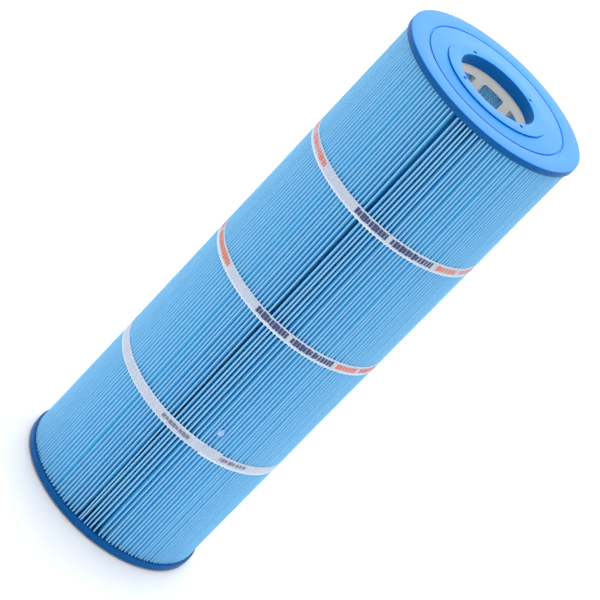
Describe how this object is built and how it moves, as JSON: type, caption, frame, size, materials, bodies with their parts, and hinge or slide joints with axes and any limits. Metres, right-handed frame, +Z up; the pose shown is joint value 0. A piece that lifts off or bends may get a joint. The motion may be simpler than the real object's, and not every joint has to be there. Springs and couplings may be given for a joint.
{
  "type": "pool filter cartridge",
  "caption": "Pleated pool filter cartridge: a folded media ring round a windowed core, held by bands, with cast end caps open at both ends.",
  "frame": {"origin": "centre of the lower sealing face, on the cartridge's axis", "axes": "+Z up the cartridge's axis towards the top end cap, -Y towards the front, where the media seam is"},
  "size_m": [0.1778, 0.1778, 0.51],
  "materials": {
    "urethane": "satin cast polyurethane, blue",
    "media": "matt spunbonded polyester, light blue",
    "core_plastic": "matt moulded plastic, off-white",
    "band_tape": "white polyester tape, printed with plain bars",
    "hot_melt": "semi-gloss hot-melt glue, cloudy white"
  },
  "bodies": {
    "root": {"top_end_cap": "urethane", "bottom_end_cap": "urethane", "pleated_media": "media", "seam_bond": "hot_melt", "core_section_1": "core_plastic", "core_section_2": "core_plastic", "core_section_3": "core_plastic", "core_section_4": "core_plastic", "upper_band": "band_tape", "middle_band": "band_tape", "lower_band": "band_tape", "glue_dab": "hot_melt"}
  },
  "joints": []
}
